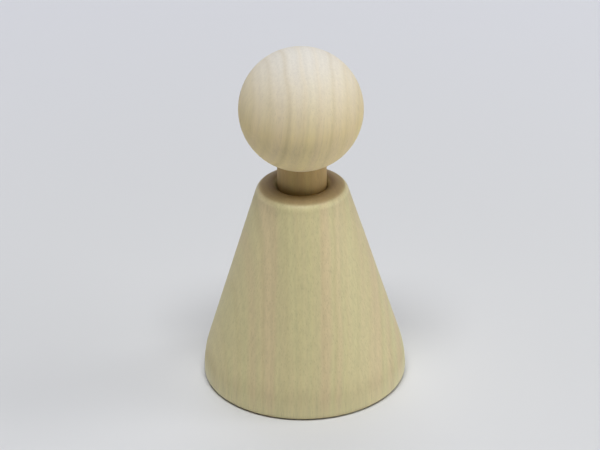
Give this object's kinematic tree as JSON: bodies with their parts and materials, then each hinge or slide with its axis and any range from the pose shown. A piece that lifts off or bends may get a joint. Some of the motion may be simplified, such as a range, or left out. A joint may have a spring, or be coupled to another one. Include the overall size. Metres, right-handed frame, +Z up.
{
  "type": "wooden peg doll",
  "caption": "Plain turned peg doll: a cone body with a domed shoulder, a short dowel neck and a ball head that turns by hand.",
  "frame": {"origin": "centre of the foot, on the surface that the doll stands on", "axes": "+Z up the turning axis from the foot to the top of the head; the doll is round, so X and Y are equal"},
  "size_m": [0.05, 0.05, 0.0869],
  "materials": {
    "body_wood": "sanded bare hardwood, straight grain running up the cone, no stain or varnish",
    "dowel_wood": "machined bare hardwood dowel, grain along its length",
    "head_wood": "sanded bare hardwood ball, paler than the body, faint grain"
  },
  "bodies": {
    "body": {"turned_body": "body_wood"},
    "head": {"ball_head": "head_wood", "neck_dowel": "dowel_wood"}
  },
  "joints": [
    {"name": "head_turn", "type": "hinge", "parent": "body", "child": "head", "pos_m": [0, 0, 0.05317], "axis": [0, 0, 1], "continuous": true}
  ]
}
